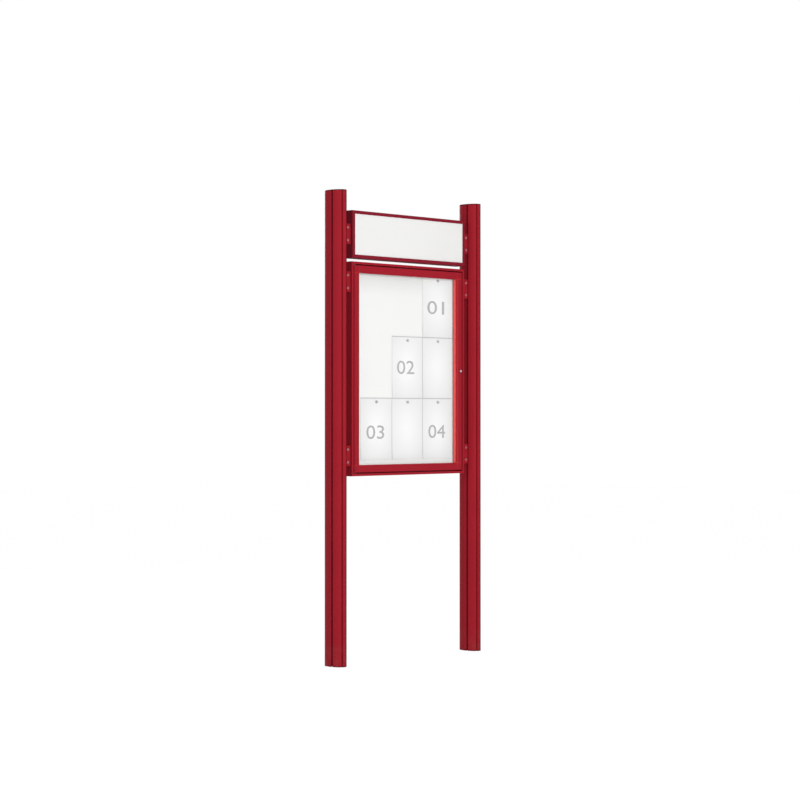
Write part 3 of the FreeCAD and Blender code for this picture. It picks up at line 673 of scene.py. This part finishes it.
LEVELS = ("header", "case_upper", "case_lower")
coat_nodes(ruby_coat, *(f"{side}_{level}_{piece}" for side in ("left", "right") for level in LEVELS
                        for piece in ("tongue", "angle")))

HEX_RADIUS = 0.0075
HEX_INSET = 0.0011
HEX_CROWN = 0.0004
BOLT_ROUND = 0.00025
WASHER_RADIUS = 0.0082
WASHER = 0.0011
WASHER_REACH = 0.00005
SHANK_RADIUS = 0.004
NUT_SEAT = 0.0065
THREAD_END = 0.0012
BOLT_PITCH = 0.060
TINTED_ZINC = {**ZINC, "Colour": (0.50, 0.14, 0.16, 1.0), "Edge Colour": (0.60, 0.30, 0.31, 1.0)}
bolt_coat, tree, surface, shader = finish("tinted_zinc_steel", TINTED_ZINC, {"Metallic": 0.5}, relief=0.15,
                                          relief_height=0.00005)
# The washers under the heads have the red coat of the hangers
washer_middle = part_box("left_header_angle")[0][1] - WASHER / 2
red = within(tree, object_place(tree)[1], "Y", washer_middle, WASHER / 2 + WASHER_REACH)
join(tree, *mix_colours(tree, red, (surface, "Color"), RUBY), shader, "Base Color")


def make_bolt(x, z, front, head_seat, nut_seat, back):
    """One bolt along Y, from the front of its head to the end of its thread."""
    pieces = []
    for name, start, end, radius, vertices in (
            ("head", front + HEX_CROWN, head_seat - WASHER, HEX_RADIUS, 6),
            ("head_washer", head_seat - WASHER, head_seat, WASHER_RADIUS, 32),
            ("shank", head_seat, back, SHANK_RADIUS, 24),
            ("nut_washer", nut_seat, nut_seat + WASHER, WASHER_RADIUS, 32),
            ("nut", nut_seat + WASHER, back - THREAD_END, HEX_RADIUS, 6)):
        piece = turned_piece(name, x, z, start, end, radius, vertices)
        if name in ("head", "nut"):
            outward = -1 if name == "head" else 1
            open_piece(piece)
            pick_faces(piece, lambda middle, normal: normal.y * outward > 0.9)
            bpy.ops.mesh.inset(thickness=HEX_INSET)
            bpy.ops.transform.translate(value=(0.0, outward * HEX_CROWN, 0.0))
            close_piece()
        round_off(piece, BOLT_ROUND)
        pieces.append(piece)
    return join_pieces(pieces, "bolt")


for side in ("left", "right"):
    bolts_low, bolts_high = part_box(f"{side}_hanger_bolts")
    bolts = []
    for level in LEVELS:
        angle_low, angle_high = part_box(f"{side}_{level}_angle")
        for sign in (-1, 1):
            height = (angle_low[2] + angle_high[2]) / 2 + sign * BOLT_PITCH / 2
            if bolts:
                bolts.append(copy_piece(bolts[0], "bolt", (0.0, 0.0, height - first_height)))
            else:
                first_height = height
                bolts.append(make_bolt((bolts_low[0] + bolts_high[0]) / 2, height, bolts_low[1],
                                       angle_low[1], bolts_high[1] - NUT_SEAT, bolts_high[1]))
    row = join_pieces(bolts, f"{side}_bolts")
    smooth(row)
    dress(row, bolt_coat, "frame", "zinc_steel", f"{side}_hanger_bolts")


# The back board
# A white enamelled steel sheet behind the notices, red on its front outside the door's seal,
# with painted shade at the top. Pan head screws with a cross recess hold it to the case's shelf.

ENAMEL = {"Colour": (0.935, 0.937, 0.925, 1.0), "Edge Colour": (0.80, 0.80, 0.78, 1.0),
          "Edge Width": 0.001, "Edge Wear": 0.2, "Cloud Scale": 2.0, "Cloud Depth": 0.012,
          "Grain Scale": 900.0, "Gloss": 0.36, "Gloss Spread": 0.05}
# Painted shade under the door's upper rail: its grey, how far down it reaches and how strong it is
PAINTED_RAIL_SHADE = (0.60, 0.60, 0.585, 1.0)
RAIL_SHADE_DEPTH = 0.10
RAIL_SHADE_SHARE = 0.45
FRONT_REACH = 0.0005
SEAL_OUT = 0.0155
board_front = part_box("case_back_board")[0][1]
enamel, tree, surface, shader = finish("white_board_enamel", ENAMEL, {"Specular IOR Level": 0.3},
                                       relief=0.05)
spot = object_place(tree)[1]
in_front = within(tree, spot, "Y", board_front, FRONT_REACH)
in_width = within(tree, spot, "X", (door_left_high[0] + door_right_low[0]) / 2,
                  (door_right_low[0] - door_left_high[0]) / 2 + SEAL_OUT)
in_height = within(tree, spot, "Z", (door_bottom_high[2] + door_top_low[2]) / 2,
                   (door_top_low[2] - door_bottom_high[2]) / 2 + SEAL_OUT)
outside = combine(tree, "SUBTRACT", 1.0, combine(tree, "MULTIPLY", in_width, in_height))
on_margin = combine(tree, "MULTIPLY", in_front, outside)
# Painted shade: the board darkens towards the upper rail, in place of the rail's shadow
under_rail_shade = add_node(tree, "MapRange", {"From Min": door_top_low[2] - RAIL_SHADE_DEPTH,
                                       "From Max": door_top_low[2], "To Max": RAIL_SHADE_SHARE})
join(tree, spot, "Z", under_rail_shade, "Value")
rail_shaded = mix_colours(tree, (under_rail_shade, "Result"), (surface, "Color"), PAINTED_RAIL_SHADE)
join(tree, *mix_colours(tree, on_margin, rail_shaded, RUBY), shader, "Base Color")
coat_nodes(enamel, "case_back_board")

SHELF_BACK = 0.043
SCREW_INSET = 0.0125
SCREW_RADIUS = 0.0042
SCREW_DOME = 0.55
RECESS_LENGTH = 0.0044
RECESS_WIDTH = 0.0008
RECESS_CUT = 0.0018
COLUMN_INSET = 0.11
ROW_INSET = 0.14
case_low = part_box("case_bottom_rail")[0]
case_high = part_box("case_top_rail")[1]
screw = add_primitive("uv_sphere", "screw", (0.0, 0.0, 0.0), scale=(1.0, 1.0, SCREW_DOME),
                      turn=FACING_FRONT, segments=24, ring_count=12, radius=SCREW_RADIUS)
open_piece(screw)
bpy.ops.mesh.select_all(action="SELECT")
bpy.ops.mesh.bisect(plane_co=(0.0, 0.0, 0.0), plane_no=(0.0, 1.0, 0.0), clear_inner=True, use_fill=True)
close_piece()
for width, height in ((RECESS_LENGTH, RECESS_WIDTH), (RECESS_WIDTH, RECESS_LENGTH)):
    cut_out(screw, add_primitive("cube", "cross", (0.0, SCREW_DOME * SCREW_RADIUS, 0.0),
                                 scale=(width, RECESS_CUT, height), size=1.0))
columns = [case_low[0] + COLUMN_INSET + step * (case_high[0] - case_low[0] - 2 * COLUMN_INSET) / 2
           for step in range(3)]
rows = [case_low[2] + ROW_INSET + step * (case_high[2] - case_low[2] - 2 * ROW_INSET) / 3
        for step in range(4)]
spots = [(x, z) for x in columns for z in (case_low[2] + SCREW_INSET, case_high[2] - SCREW_INSET)]
spots += [(x, z) for z in rows for x in (case_low[0] + SCREW_INSET, case_high[0] - SCREW_INSET)]
screws = join_pieces([copy_piece(screw, "screw", (x, case_low[1] + SHELF_BACK, z)) for x, z in spots],
                     "board_screws")
bpy.data.objects.remove(screw)
smooth(screws)
dress(screws, zinc, "frame", "zinc_steel")


# The board's spacer and the door's seal
# A red coated aluminium strip rims the board behind the door's opening. Outside it runs a
# soft black rubber strip, against which the door closes.

SPACER_WIDTH = 0.006
SPACER_PLAY = 0.0006
SEAL_WIDTH = 0.006
SEAL_GAP = 0.0002
strip_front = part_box("door_left_rail")[1][1] + SEAL_GAP
out = SPACER_WIDTH + SPACER_PLAY
spacer = make_strip("board_spacer", door_left_high[0] - out, door_right_low[0] + out,
                    door_bottom_high[2] - out, door_top_low[2] + SEAL_OUT, SPACER_WIDTH,
                    board_front, strip_front)
dress(spacer, ruby_coat, "frame", "red_powder_coat")
RUBBER = {"Colour": (0.022, 0.022, 0.023, 1.0), "Edge Colour": (0.06, 0.06, 0.06, 1.0),
          "Edge Width": 0.0008, "Edge Wear": 0.5, "Cloud Scale": 30.0, "Cloud Depth": 0.15,
          "Grain Scale": 2500.0, "Gloss": 0.7, "Gloss Spread": 0.1}
rubber = finish("black_rubber", RUBBER, {"Specular IOR Level": 0.3}, relief=0.3)[0]
seal = make_strip("door_seal", door_left_high[0] - SEAL_OUT, door_right_low[0] + SEAL_OUT,
                  door_bottom_high[2] - SEAL_OUT,
                  door_top_low[2] + SEAL_OUT + SEAL_WIDTH + SPACER_PLAY,
                  SEAL_WIDTH, board_front, strip_front)
dress(seal, rubber, "frame", "grey_magnet")


# The notices
# Six sheets of A4 copier paper, pinned to the board in columns and rows. Their lower
# corners lift a little. A painted highlight pales the middle of each, and painted shade darkens
# their sides and upper edges where they meet.

PAPER = (0.855, 0.857, 0.857, 1.0)
# Painted highlight in the middle of each sheet, and painted shade along its sides and upper edge
PAINTED_PAPER_HIGHLIGHT = (0.99, 0.99, 0.99, 1.0)
PAINTED_SEAM_SHADE = (0.42, 0.42, 0.42, 1.0)
SEAM_SHADE_SHARE = 0.85
paper, tree, surface, shader = finish(
    "copier_paper", {"Colour": PAPER, "Edge Colour": PAPER, "Edge Width": 0.0005, "Edge Wear": 0.0,
                     "Cloud Scale": 8.0, "Cloud Depth": 0.01, "Grain Scale": 1800.0,
                     "Gloss": 0.85, "Gloss Spread": 0.05}, {"Specular IOR Level": 0.2}, relief=0.2)
# The painted highlight grows towards each sheet's middle; the painted shade lies on its sides and upper
# edge
unwrapped = add_node(tree, "UVMap", uv_map="UVMap")
centred = add_node(tree, "VectorMath", {1: (0.5, 0.5, 0.0)}, operation="SUBTRACT")
reach = add_node(tree, "VectorMath", operation="LENGTH")
middle = add_node(tree, "MapRange", {"From Min": 0.62, "From Max": 0.05})
along = add_node(tree, "SeparateXYZ")
sideways = add_node(tree, "Math", operation="ABSOLUTE")
by_side = add_node(tree, "MapRange", {"From Min": 0.488, "From Max": 0.498})
by_top = add_node(tree, "MapRange", {"From Min": 0.483, "From Max": 0.491})
join(tree, unwrapped, "UV", centred, 0)
join(tree, centred, 0, reach, 0)
join(tree, reach, "Value", middle, "Value")
join(tree, centred, 0, along, 0)
join(tree, along, "X", sideways, 0)
join(tree, sideways, 0, by_side, "Value")
join(tree, along, "Y", by_top, "Value")
seam_shade_mask = combine(tree, "MAXIMUM", (by_side, "Result"), (by_top, "Result"))
highlighted = mix_colours(tree, (middle, "Result"), (surface, "Color"), PAINTED_PAPER_HIGHLIGHT)
seam_shaded = mix_colours(tree, combine(tree, "MULTIPLY", seam_shade_mask, SEAM_SHADE_SHARE), highlighted, PAINTED_SEAM_SHADE)
join(tree, *seam_shaded, shader, "Base Color")

PAPER_WIDTH = 0.210
PAPER_HEIGHT = 0.297
PAPER_THICKNESS = 0.0002
PAPER_STEP = 0.0006
# Columns from the left and rows from the top
PINNED = ((2, 0), (2, 1), (1, 1), (2, 2), (1, 2), (0, 2))
# The lower corners, by their share of the width from the right, and how far each lifts
CORNER_LIFTS = ((0.0, 0.0022), (1.0, 0.0034))
LIFT_REACH = 0.11
CORNER_REACH = 0.0008


def pinned_at(column, row):
    """The way to a notice from the first one, which is at the top right."""
    return Vector(((column - 2) * (PAPER_WIDTH + PAPER_STEP), 0.0, -row * (PAPER_HEIGHT + PAPER_STEP)))


sheets_low, sheets_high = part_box("notice_sheets")
sheet_front = sheets_low[1]
notice = add_primitive("grid", "notice", (sheets_high[0] - PAPER_WIDTH / 2, sheet_front,
                                          sheets_high[2] - PAPER_HEIGHT / 2),
                       scale=(PAPER_WIDTH, PAPER_HEIGHT, 1.0), turn=FACING_FRONT,
                       x_subdivisions=20, y_subdivisions=28, size=1.0)
open_piece(notice)
bpy.ops.mesh.select_mode(type="VERT")
for side, lift in CORNER_LIFTS:
    bpy.ops.mesh.select_all(action="DESELECT")
    corner = Vector((sheets_high[0] - side * PAPER_WIDTH, sheet_front, sheets_high[2] - PAPER_HEIGHT))
    mesh = bmesh.from_edit_mesh(notice.data)
    for vertex in mesh.verts:
        vertex.select_set((vertex.co - corner).length < CORNER_REACH)
    bmesh.update_edit_mesh(notice.data)
    bpy.ops.transform.translate(value=(0.0, -lift, 0.0), use_proportional_edit=True,
                                proportional_edit_falloff="SHARP", proportional_size=LIFT_REACH)
close_piece()
apply_modifier(notice, "SOLIDIFY", thickness=PAPER_THICKNESS, offset=-1.0)
notices = [copy_piece(notice, "notice", pinned_at(*cell)) for cell in PINNED]
bpy.data.objects.remove(notice)
notices = join_pieces(notices, "notices")
smooth(notices)
dress(notices, paper, "frame", "sheet_paper", "notice_sheets")


# The printed numbers
# Plain grey numbers, laser printed on four of the notices. They stand a little left of the
# middle and below it, and their toner lies hardly proud of the paper.

TONER = {"Colour": (0.43, 0.43, 0.435, 1.0), "Edge Colour": (0.46, 0.46, 0.46, 1.0),
         "Edge Width": 0.0003, "Edge Wear": 0.2, "Cloud Scale": 40.0, "Cloud Depth": 0.08,
         "Grain Scale": 2200.0, "Gloss": 0.7, "Gloss Spread": 0.08}
toner = finish("grey_toner", TONER, {"Specular IOR Level": 0.2}, relief=0.1)[0]
TONER_PROUD = 0.0001
DIGITS_HEIGHT = 0.064
DIGITS_WIDTH = 0.118
# Each number with its notice's column and row, and its place off that notice's middle
NUMBERS = (("01", 2, 0, -0.0120, 0.0034), ("02", 1, 1, -0.0107, 0.0018),
           ("03", 0, 2, -0.0055, 0.0157), ("04", 2, 2, -0.0047, 0.0143))
for text, column, row, aside, drop in NUMBERS:
    bpy.ops.object.select_all(action="DESELECT")
    bpy.ops.object.text_add(rotation=FACING_FRONT)
    digits = bpy.context.active_object
    digits.data.body = text
    digits.data.extrude = 0.5 * TONER_PROUD
    bpy.ops.object.convert(target="MESH")
    digits = bpy.context.active_object
    digits.name = f"number_{text}"
    digits.data.name = f"number_{text}"
    width, height, _ = digits.dimensions
    digits.scale = (DIGITS_WIDTH / width, DIGITS_HEIGHT / height, 1.0)
    bpy.ops.object.transform_apply(location=True, rotation=True, scale=True)
    corners = [Vector(corner) for corner in digits.bound_box]
    low = Vector([min(corner[axis] for corner in corners) for axis in range(3)])
    high = Vector([max(corner[axis] for corner in corners) for axis in range(3)])
    target = Vector((sheets_high[0] - PAPER_WIDTH / 2 + aside, sheet_front - TONER_PROUD / 2,
                     sheets_high[2] - PAPER_HEIGHT / 2 - drop)) + pinned_at(column, row)
    digits.data.transform(Matrix.Translation(target - (low + high) / 2))
    dress(digits, toner, "frame", "sheet_paper")


# The magnets
# Small round magnets moulded in grey plastic, with a domed face. One at the top of each
# notice holds it to the steel board.

PLASTIC = {"Colour": (0.44, 0.44, 0.45, 1.0), "Edge Colour": (0.50, 0.50, 0.50, 1.0), "Edge Width": 0.0008,
           "Edge Wear": 0.4, "Cloud Scale": 80.0, "Cloud Depth": 0.06, "Grain Scale": 2600.0,
           "Gloss": 0.5, "Gloss Spread": 0.08}
plastic = finish("grey_magnet_plastic", PLASTIC, {"Specular IOR Level": 0.35}, relief=0.2)[0]
MAGNET_RADIUS = 0.007
MAGNET_DROP = 0.020
MAGNET_ROUND = 0.0018
DOME_INSET = 0.0026
DOME = 0.0006
magnets_low, magnets_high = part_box("sheet_magnets")
magnet = turned_piece("magnet", sheets_high[0] - PAPER_WIDTH / 2, sheets_high[2] - MAGNET_DROP,
                      magnets_low[1] + DOME, magnets_high[1], MAGNET_RADIUS, 40)
round_off(magnet, MAGNET_ROUND, segments=4)
open_piece(magnet)
pick_faces(magnet, lambda middle, normal: normal.y < -0.99)
bpy.ops.mesh.inset(thickness=DOME_INSET)
bpy.ops.transform.translate(value=(0.0, -DOME, 0.0))
close_piece()
magnets = [copy_piece(magnet, "magnet", pinned_at(*cell)) for cell in PINNED]
bpy.data.objects.remove(magnet)
magnets = join_pieces(magnets, "magnets")
smooth(magnets)
dress(magnets, plastic, "frame", "grey_magnet", "sheet_magnets")
